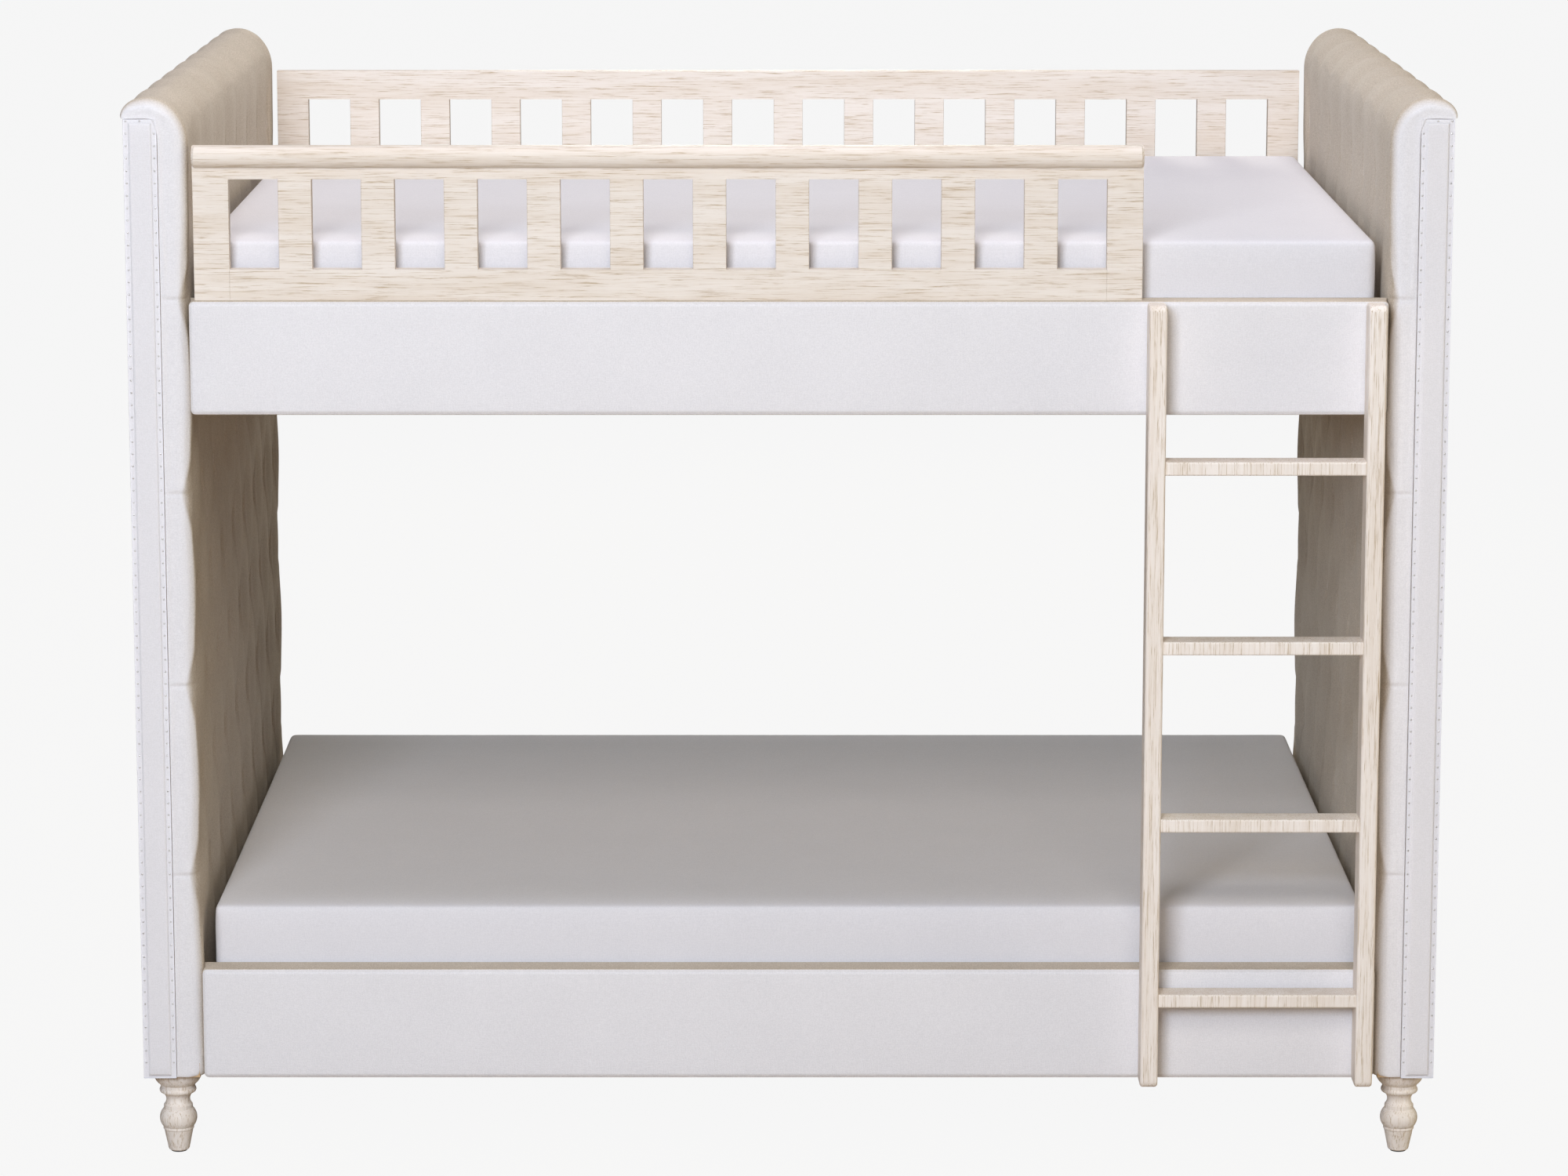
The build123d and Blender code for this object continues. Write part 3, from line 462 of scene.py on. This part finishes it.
def pad_profile():
    """Outline of the padding from its lower edge up and over the roll: points and directions out of it."""
    first = FIRST_TUFT_ROW + PANEL_BOTTOM
    top_of_flat = ROLL_TOP - ROLL_INNER_RADIUS
    rows = list(np.arange(-19, 8 * CELLS + 40) / CELLS)
    for row in range(1, TUFT_ROWS, 2):
        rows += [row + shift for shift in (-0.036, -0.018, 0.018, 0.036)]
    heights = sorted(set(round(first + row * TUFT_ROW, 6) for row in rows))
    heights = [h for h in heights if PANEL_BOTTOM + 4 * MM < h < top_of_flat - 4 * MM]
    low_rows = [PANEL_BOTTOM + rise for rise in (0.0, 0.5 * MM, 2.0 * MM)]
    points = [(PAD_FACE, h) for h in low_rows + heights + [top_of_flat]]
    outward = [(-1.0, 0.0)] * len(points)
    crest = PAD_FACE + ROLL_CREST
    for start, stop, width, height, count in (
        (180, 90, ROLL_CREST, ROLL_INNER_RADIUS, 14),
        (90, 0, ROLL_OUT - crest, ROLL_OUTER_RADIUS, 9),
    ):
        for k in range(1, count + 1):
            angle = math.radians(start + (stop - start) * k / count)
            points.append((crest + width * math.cos(angle), ROLL_TOP - height + height * math.sin(angle)))
            across, up = math.cos(angle) / width, math.sin(angle) / height
            outward.append((across / math.hypot(across, up), up / math.hypot(across, up)))
    points.append((ROLL_OUT - 1.0 * MM, PANEL_TOP + 1.2 * MM))
    outward.append((0.8, -0.6))
    points.append((ROLL_OUT - 4.0 * MM, PANEL_TOP + 0.2 * MM))
    outward.append((0.0, -1.0))
    return np.array(points), np.array(outward)


def pad_depth(across, rows, beyond):
    """How far the tufting pulls the cloth in. across and rows count tuft steps; beyond is the length past the
    topmost row, where only upright pleats are left."""
    low = np.clip(rows, 0, TUFT_ROWS)
    above_first = np.mod(across + low, 2) - 1
    above_second = 1 - np.mod(across - low, 2)
    first, second = np.abs(above_first), np.abs(above_second)
    crown = 0.5 * np.sin(first * math.pi / 2) ** 1.3 + 0.5 * np.sin(second * math.pi / 2) ** 1.3
    broad = BROAD_DEPTH * (1 - crown)
    steep = math.hypot(TUFT_ROW, TUFT_COLUMN)
    step = TUFT_ROW * TUFT_COLUMN / steep
    upright = (rows <= 0) | (rows >= TUFT_ROWS)
    along_first = np.where(upright, 0.5, 1 - 0.25 * second)
    along_second = np.where(upright, 0.5, 1 - 0.25 * first)
    reach = np.where(upright, TUFT_COLUMN, step)
    pleats = PLEAT_DEPTH * (
        np.exp(-first * reach / PLEAT_WIDTH) * along_first
        + np.exp(-second * reach / PLEAT_WIDTH) * along_second
    )
    # The cloth above a pleat laps over the cloth below it
    for above, share in ((above_first, along_first), (above_second, along_second)):
        lap = np.clip(above * reach / LAP_WIDTH, 0, None)
        pleats = pleats - LAP_HEIGHT * share * lap * np.exp(1 - lap) * np.where(upright, 0.4, 1.0)
    nearest_row = np.round(low)
    even_row = np.mod(nearest_row, 2) == 0
    column = np.where(even_row, 2 * np.round((across - 1) / 2) + 1, 2 * np.round(across / 2))
    distance = np.hypot((across - column) * TUFT_COLUMN, (rows - nearest_row) * TUFT_ROW)
    tufts = TUFT_DEPTH * np.exp(-(distance / TUFT_WIDTH) ** 1.4)
    fade = 1 - 0.55 * smooth_step(beyond, 0.0, 0.1)
    fade *= 1 - 0.35 * smooth_step(-rows, 0.1, 1.1)
    pleats = pleats * (1 - 0.75 * smooth_step(beyond, 0.0, 0.12))
    return (broad + pleats + tufts) * fade


def edge_crease(rows):
    """Depth of the creases that run across the front and back edges, from the tufts on the edge."""
    nearest = 2 * np.round((np.clip(rows, 1, TUFT_ROWS - 1) - 1) / 2) + 1
    away = (rows - nearest) * TUFT_ROW
    groove = 2.6 * MM * np.exp(-(away / (3.2 * MM)) ** 2)
    hollow = 1.6 * MM * np.exp(-(away / (22 * MM)) ** 2)
    ridge = 1.1 * MM * np.exp(-((away - 6.5 * MM) / (4 * MM)) ** 2)
    return groove + hollow - ridge


def build_padding():
    """Points, faces and pin weights of the right end's padding. Each point of the outline carries a loop that
    runs from the root at the front, round the face, to the root at the back."""
    points, outward = pad_profile()
    first = FIRST_TUFT_ROW + PANEL_BOTTOM
    travelled = np.concatenate([[0], np.cumsum(np.linalg.norm(np.diff(points, axis=0), axis=1))])
    rows = (PANEL_BOTTOM + travelled - first) / TUFT_ROW
    beyond = np.maximum(0, travelled - (first + TUFT_ROWS * TUFT_ROW - PANEL_BOTTOM))
    roots = np.stack([
        np.clip(points[:, 0], PAD_ROOT, PANEL_OUT),
        np.minimum(points[:, 1], PANEL_TOP),
    ], 1)
    on_roll = points[:, 1] > PANEL_TOP - 30 * MM
    spread = np.clip((travelled - travelled[on_roll][0]) / (travelled[-1] - travelled[on_roll][0]), 0, 1)
    roots[on_roll, 0] = PAD_ROOT + (PANEL_OUT - PAD_ROOT) * spread[on_roll]
    roots[on_roll, 1] = np.minimum(points[on_roll, 1], PANEL_TOP)

    columns = np.arange(0, TUFT_COLUMNS * CELLS + 1) / CELLS * TUFT_COLUMN + FRONT_Y
    columns = [c for c in columns if PAD_FRONT + PAD_EDGE + 1 * MM < c < PAD_BACK - PAD_EDGE - 1 * MM]
    # Each point of the loop: what it lies on, its share of the way out or angle round the edge, and its depth
    loop = []
    shares = (0.0, 0.03, 0.08, 0.18, 0.34, 0.5, 0.67, 0.84)
    for share in shares:
        loop.append(("front", share, PAD_FRONT))
    for k in range(EDGE_STEPS + 1):
        angle = math.radians(90 * k / EDGE_STEPS)
        loop.append(("edge", angle, PAD_FRONT))
    for c in columns:
        loop.append(("face", 1.0, c))
    for k in range(EDGE_STEPS + 1):
        angle = math.radians(90 - 90 * k / EDGE_STEPS)
        loop.append(("edge", angle, PAD_BACK))
    for share in reversed(shares):
        loop.append(("front", share, PAD_BACK))
    verts, hold = [], []
    for s in range(len(points)):
        point, root, out = points[s], roots[s], outward[s]
        reach = np.linalg.norm(point - root)
        inward = (root - point) / reach
        edge = min(PAD_EDGE, reach * 0.8)
        low_end = max(0.0, 1 - (points[s, 1] - PANEL_BOTTOM) / (9 * MM)) if points[s, 0] == PAD_FACE else 0.0
        tuck = 6 * MM * (1 - math.sqrt(max(0.0, 1 - low_end ** 2)))
        for kind, share, y in loop:
            side = -1.0 if y < 0 else 1.0
            if kind == "front":
                place = root + (point + inward * edge - root) * share
                depth_y = y - side * SEAM_DEPTH * max(0.0, 1 - share / 0.12) ** 2
                crease = edge_crease(rows[s]) * (0.35 + 0.65 * share) * (1 - min(1.0, beyond[s] / 0.05))
                push = np.array([0.0, -side * crease, 0.0])
            elif kind == "edge":
                place = point + inward * edge * (1 - math.sin(share))
                depth_y = y - side * edge * (1 - math.cos(share))
                across = (depth_y - FRONT_Y) / TUFT_COLUMN
                pull = pad_depth(across, rows[s], beyond[s]) * math.sin(share) ** 1.5
                crease = edge_crease(rows[s]) * (1 - min(1.0, beyond[s] / 0.05))
                push = np.array([-out[0] * pull, 0.0, -out[1] * pull])
                push[1] -= side * crease * math.cos(share)
                push[0] -= out[0] * crease * 0.5 * math.sin(share)
            else:
                place = point
                depth_y = y
                across = (y - FRONT_Y) / TUFT_COLUMN
                pull = pad_depth(across, rows[s], beyond[s])
                push = np.array([-out[0] * pull, 0.0, -out[1] * pull])
            x, z = place + inward * tuck * (0.3 if kind == "front" else 1.0)
            verts.append((x + push[0], depth_y - side * tuck * (kind != "face") * 0.7 + push[1], z + push[2]))
            hold.append(1.0 if kind == "front" and share < 0.2 else 0.0)
    verts = np.array(verts)
    ring = len(loop)
    faces = []
    for s in range(len(points) - 1):
        base, above = s * ring, (s + 1) * ring
        for k in range(ring):
            following = (k + 1) % ring
            faces.append((base + k, base + following, above + following, above + k))
    half = ring // 2
    for base, flip in ((0, True), ((len(points) - 1) * ring, False)):
        for k in range(half - 1):
            quad = (base + k, base + k + 1, base + ring - 2 - k, base + ring - 1 - k)
            faces.append(tuple(reversed(quad)) if flip else quad)
    hold = np.array(hold)
    grid_rows = np.repeat(rows, ring)
    across = (verts[:, 1] - FRONT_Y) / TUFT_COLUMN
    low = np.clip(grid_rows, 0, TUFT_ROWS)
    first_line = np.abs(np.mod(across + low, 2) - 1)
    second_line = np.abs(np.mod(across - low, 2) - 1)
    tied = np.exp(-(first_line ** 2 + second_line ** 2) / 0.01)
    sewn = 0.5 * np.exp(-(np.minimum(first_line, second_line) / 0.07) ** 2)
    hold = np.maximum(hold, np.maximum(tied, sewn))
    hold[:ring] = 1.0
    hold[-ring * 3:] = 1.0
    return verts, faces, hold


pad_verts, pad_faces, pad_hold = build_padding()
right_padding = new_piece(
    "right_tufted_cushion", pad_verts, pad_faces, linen, ["right_tufted_padding"]
)
inflate(right_padding, pad_hold, 3.0, 1.8 * MM)
left_padding = mirror_piece(right_padding, "left_tufted_cushion", linen, ["left_tufted_padding"])
for padding in (right_padding, left_padding):
    subdivide(padding)
    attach(padding, BODY)


# ---------------------------------------------------------------------------
# Mattresses
# ---------------------------------------------------------------------------

MATTRESS_EDGE = 12 * MM
MATTRESS_SLACK = 1.0 * MM  # left inside the CAD box for the fullness


def build_mattress(level):
    """A mattress and its pin weights: its underside is held and its upper rim half held."""
    lo, hi = (np.array(corner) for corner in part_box(f"{level}_mattress"))
    lo = lo + (MATTRESS_SLACK, MATTRESS_SLACK, 0)
    hi = hi - (MATTRESS_SLACK, MATTRESS_SLACK, MATTRESS_SLACK)
    flat, verts, faces = rounded_box(lo, hi, MATTRESS_EDGE, (22 * MM, 22 * MM, 18 * MM))
    piece = new_piece(
        f"{level}_mattress_pad", verts, faces, mattress_cloth, [f"{level}_mattress"]
    )
    hold = np.where(flat[:, 2] < lo[2] + 1e-6, 1.0, 0.0)
    edge = np.minimum(np.abs(flat[:, :2] - lo[:2]), np.abs(flat[:, :2] - hi[:2])).min(1)
    rim = (flat[:, 2] > hi[2] - MATTRESS_EDGE) & (edge < 14 * MM)
    hold = np.where(rim, 0.6, hold)
    return piece, hold


lower_pad, pad_rim = build_mattress("lower")
inflate(lower_pad, pad_rim, 2.5, 2.0 * MM)
upper_pad, _ = build_mattress("upper")
lift = np.array(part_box("upper_mattress")[0]) - np.array(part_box("lower_mattress")[0])
upper_pad.data.vertices.foreach_set("co", (coordinates(lower_pad.data) + lift).ravel())
upper_pad.data.update()
for level, mattress in (("lower", lower_pad), ("upper", upper_pad)):
    subdivide(mattress)
    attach(mattress, f"{level}_mattress")


# ---------------------------------------------------------------------------
# Upholstered side rails
# ---------------------------------------------------------------------------

RAIL_EDGE = 9 * MM
RAIL_FULLNESS = 0.8 * MM
POCKET_STEP = 0.4 * MM  # width of the pocket's walls in the mesh


def build_rail(level, side):
    """Foam and cloth round three sides and the ends of a rail, with a pocket that holds its core."""
    cover, core = f"{level}_{side}_rail_cover", f"{level}_{side}_rail_core"
    lo, hi = (np.array(corner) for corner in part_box(cover))
    core_lo, core_hi = (np.array(corner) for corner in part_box(core))
    pocket = [
        [core_lo[axis] - POCKET_STEP, core_lo[axis], core_hi[axis], core_hi[axis] + POCKET_STEP]
        for axis in (0, 2)
    ]
    flat, verts, faces = rounded_box(
        lo, hi, RAIL_EDGE, (30 * MM, 12 * MM, 18 * MM), (pocket[0], (), pocket[1])
    )
    inner, outer, depth = (hi[1], lo[1], core_lo[1]) if side == "front" else (lo[1], hi[1], core_hi[1])
    on_inner = np.abs(flat[:, 1] - inner) < 1e-6
    in_core = (
        (flat[:, 0] > core_lo[0] - 1e-6) & (flat[:, 0] < core_hi[0] + 1e-6)
        & (flat[:, 2] > core_lo[2] - 1e-6) & (flat[:, 2] < core_hi[2] + 1e-6)
    )
    verts[on_inner] = flat[on_inner]
    near_inner = np.abs(flat[:, 1] - inner) < RAIL_EDGE
    verts[near_inner & ~on_inner] = flat[near_inner & ~on_inner]
    verts[on_inner & in_core, 1] = depth
    # A little fullness in the middle of the outer face
    outward = 1.0 if side == "back" else -1.0
    on_outer = np.abs(flat[:, 1] - outer) < 1e-6
    height = (flat[:, 2] - lo[2]) / (hi[2] - lo[2])
    full = np.sin(np.clip(height, 0, 1) * math.pi) ** 0.6
    ends = smooth_step(np.minimum(flat[:, 0] - lo[0], hi[0] - flat[:, 0]), 0, 60 * MM)
    verts[on_outer, 1] += outward * RAIL_FULLNESS * ((full * ends)[on_outer] - 1)
    piece = new_piece(f"{level}_{side}_rail_upholstery", verts, faces, linen, [cover])
    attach(piece, BODY)


for level in ("lower", "upper"):
    for side in ("front", "back"):
        build_rail(level, side)


# ---------------------------------------------------------------------------
# Border plates, nailheads and outer covers
# ---------------------------------------------------------------------------

PANEL_RELIEF = 3 * MM
SIDE_BAND = 8.5 * MM
TOP_BAND = 6.5 * MM
BOTTOM_BAND = 5 * MM
NAIL_PITCH = 20 * MM
NAIL_RADIUS = 1.7 * MM
NAIL_HEIGHT = 1.0 * MM
NAIL_SIDES = 10


def build_border(end, side):
    """A border plate with its raised panel. Returns its corners, the depth of its band and the way in."""
    name = f"{end}_{side}_border"
    lo, hi = (np.array(corner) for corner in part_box(name))
    panel_lo = (lo[0] + SIDE_BAND, lo[2] + BOTTOM_BAND)
    panel_hi = (hi[0] - SIDE_BAND, hi[2] - TOP_BAND)
    steps = (0, 0.4 * MM, 0.9 * MM, 1.6 * MM, 3.0 * MM)
    extra_x = [panel_lo[0] + s for s in steps] + [panel_hi[0] - s for s in steps]
    extra_z = [panel_lo[1] + s for s in steps] + [panel_hi[1] - s for s in steps]
    flat, verts, faces = rounded_box(
        lo, hi, 1.2 * MM, (6 * MM, 8 * MM, 20 * MM), (extra_x, (), extra_z)
    )
    outer, into = (lo[1], 1.0) if side == "front" else (hi[1], -1.0)
    on_outer = np.abs(flat[:, 1] - outer) < 1e-6
    from_edge = np.minimum.reduce([
        flat[:, 0] - panel_lo[0], panel_hi[0] - flat[:, 0],
        flat[:, 2] - panel_lo[1], panel_hi[1] - flat[:, 2],
    ])
    rise = np.sqrt(np.clip(from_edge / (2.2 * MM), 0, 1))
    verts[:, 1] += np.where(on_outer, into * PANEL_RELIEF * (1 - rise), 0.0)
    piece = new_piece(f"{name}_plate", verts, faces, border_linen, [name])
    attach(piece, BODY)
    return lo, hi, outer + into * PANEL_RELIEF, into


def dome(centre, into):
    """Points and faces of one nailhead."""
    verts, faces = [], []
    rings = ((1.0, 0.0), (0.92, 0.42), (0.6, 0.82))
    for radius, height in rings:
        for k in range(NAIL_SIDES):
            angle = 2 * math.pi * k / NAIL_SIDES
            verts.append((
                centre[0] + NAIL_RADIUS * radius * math.cos(angle),
                centre[1] - into * NAIL_HEIGHT * height,
                centre[2] + NAIL_RADIUS * radius * math.sin(angle),
            ))
    crown, root = len(verts), len(verts) + 1
    verts.append((centre[0], centre[1] - into * NAIL_HEIGHT, centre[2]))
    verts.append((centre[0], centre[1] + into * 0.4 * MM, centre[2]))
    for base in (0, NAIL_SIDES):
        for k in range(NAIL_SIDES):
            a, b = base + k, base + (k + 1) % NAIL_SIDES
            faces.append((a, b, b + NAIL_SIDES, a + NAIL_SIDES))
    last = 2 * NAIL_SIDES
    for k in range(NAIL_SIDES):
        faces.append((last + k, last + (k + 1) % NAIL_SIDES, crown))
        faces.append(((k + 1) % NAIL_SIDES, k, root))
    if into < 0:
        faces = [tuple(reversed(f)) for f in faces]
    return verts, faces


nail_verts, nail_faces = [], []
for end in ("left", "right"):
    for side in ("front", "back"):
        lo, hi, band, into = build_border(end, side)
        top = hi[2] - TOP_BAND / 2
        spots = [((lo[0] + hi[0]) / 2, top)]
        count = int((top - lo[2] - 14 * MM) / NAIL_PITCH)
        for x in (lo[0] + SIDE_BAND / 2, hi[0] - SIDE_BAND / 2):
            spots += [(x, top - k * NAIL_PITCH) for k in range(count + 1)]
        for x, z in spots:
            verts, faces = dome((x, band, z), into)
            base = len(nail_verts)
            nail_verts += verts
            nail_faces += [tuple(i + base for i in f) for f in faces]
nailheads = new_piece("nailheads", nail_verts, nail_faces, nickel, ["nailhead_trim"])
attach(nailheads, BODY)

BOARD_PULL = 1.2 * MM    # how much lower the cloth lies at the board's edges
BOARD_MARGIN = 50 * MM

for end in ("left", "right"):
    node_name = f"{end}_outer_cover"
    lo, hi = (np.array(corner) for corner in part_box(node_name))
    flat, verts, faces = rounded_box(lo, hi, 3 * MM, (6 * MM, 30 * MM, 30 * MM))
    outer, inward = (hi[0], -1.0) if end == "right" else (lo[0], 1.0)
    on_outer = np.abs(flat[:, 0] - outer) < 1e-6
    margin = np.minimum.reduce([
        flat[:, 1] - lo[1], hi[1] - flat[:, 1], flat[:, 2] - lo[2], hi[2] - flat[:, 2]
    ])
    pulled_in = inward * BOARD_PULL * (1 - smooth_step(margin, 0, BOARD_MARGIN))
    verts[:, 0] += np.where(on_outer, pulled_in, 0.0)
    board = new_piece(f"{end}_outer_board", verts, faces, outer_linen, [node_name])
    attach(board, BODY)


# ---------------------------------------------------------------------------
# Floor, lights and camera
# ---------------------------------------------------------------------------

BACKDROP = rgb(249, 249, 249)


def floor_finish():
    """Plain floor that the camera sees in the backdrop's tone."""
    finish = Finish("pale_floor", 0.9)
    grain = finish.noise((40, 40, 40), 3.0)
    finish.colour(finish.mix(finish.fit(grain, 0.3, 0.7), rgb(188, 171, 149), rgb(196, 179, 157)))
    glow = finish.add("ShaderNodeEmission", {"Color": BACKDROP, "Strength": 1.0})
    mixed = finish.add("ShaderNodeMixShader", {0: 0.97, 1: finish.shader.outputs[0], 2: glow.outputs[0]})
    seen = finish.add("ShaderNodeLightPath").outputs["Is Camera Ray"]
    chosen = finish.add("ShaderNodeMixShader", {0: seen, 1: finish.shader.outputs[0], 2: mixed.outputs[0]})
    finish.links.new(chosen.outputs[0], finish.nodes["Material Output"].inputs["Surface"])
    return finish.material


FLOOR = 60.0
floor_mesh = bpy.data.meshes.new("floor")
floor_mesh.from_pydata(
    [(-FLOOR, -FLOOR, 0), (FLOOR, -FLOOR, 0), (FLOOR, FLOOR, 0), (-FLOOR, FLOOR, 0)], [], [(0, 1, 2, 3)]
)
floor = bpy.data.objects.new("floor", floor_mesh)
bpy.context.scene.collection.objects.link(floor)
floor.data.materials.append(floor_finish())

world = bpy.data.worlds.new("studio")
bpy.context.scene.world = world
world.use_nodes = True
world_nodes, world_links = world.node_tree.nodes, world.node_tree.links
ambient = world_nodes["Background"]
ambient.inputs["Color"].default_value = (0.0, 0.0, 0.0, 1.0)
ambient.inputs["Strength"].default_value = 0.0
backdrop = world_nodes.new("ShaderNodeBackground")
backdrop.inputs["Color"].default_value = BACKDROP
light_path = world_nodes.new("ShaderNodeLightPath")
chooser = world_nodes.new("ShaderNodeMixShader")
world_links.new(light_path.outputs["Is Camera Ray"], chooser.inputs[0])
world_links.new(ambient.outputs[0], chooser.inputs[1])
world_links.new(backdrop.outputs[0], chooser.inputs[2])
world_links.new(chooser.outputs[0], world_nodes["World Output"].inputs["Surface"])

# Name, place, the point it faces, width, height, power and colour
LIGHTS = [
    ("key", (-1.6, -8.0, 3.5), (0, 0, 1.0), 2.4, 2.0, 405, (0.8, 0.88, 1.0)),
    ("front_fill", (0, -8.0, 3.0), (0, 0, 1.0), 7.0, 3.0, 20, (0.9, 0.95, 1.0)),
    ("front_high", (0, -6.5, 5.6), (0, 0, 1.0), 4.0, 2.5, 162, (1.0, 0.93, 0.82)),
    ("top", (0, 0, 5.5), (0, 0, 0.9), 4.0, 3.0, 127, (0.97, 0.94, 1.0)),
    ("right_fill", (6, -1.0, 2.6), (0, 0, 1.0), 3.0, 3.0, 88, (1.0, 0.9, 0.64)),
    ("back", (0, 6.5, 3.0), (0, 0, 0.7), 1.6, 2.4, 112, (1.0, 1.0, 0.88)),
]
for name, place, target, width, height, power, tint in LIGHTS:
    lamp = bpy.data.lights.new(name, "AREA")
    lamp.shape = "RECTANGLE"
    lamp.size = width
    lamp.size_y = height
    lamp.energy = power
    lamp.color = tint
    holder = bpy.data.objects.new(name, lamp)
    bpy.context.scene.collection.objects.link(holder)
    holder.location = place
    holder.rotation_euler = (Vector(target) - Vector(place)).to_track_quat("-Z", "Y").to_euler()

# Fitted to the edges and corners in the photo
CAMERA_LENS = 121.45
CAMERA_PLACE = (-0.0077, FRONT_Y - 8.4715, 2.5257)
CAMERA_DIP = 10.43

camera = bpy.data.cameras.new("camera")
camera.sensor_fit = "HORIZONTAL"
camera.sensor_width = 36.0
camera.lens = CAMERA_LENS
camera.clip_end = 200.0
viewer = bpy.data.objects.new("camera", camera)
bpy.context.scene.collection.objects.link(viewer)
viewer.location = CAMERA_PLACE
viewer.rotation_euler = (math.radians(90 - CAMERA_DIP), 0, 0)
bpy.context.scene.camera = viewer

bpy.context.scene.view_settings.view_transform = "Standard"
bpy.context.scene.view_settings.look = "None"
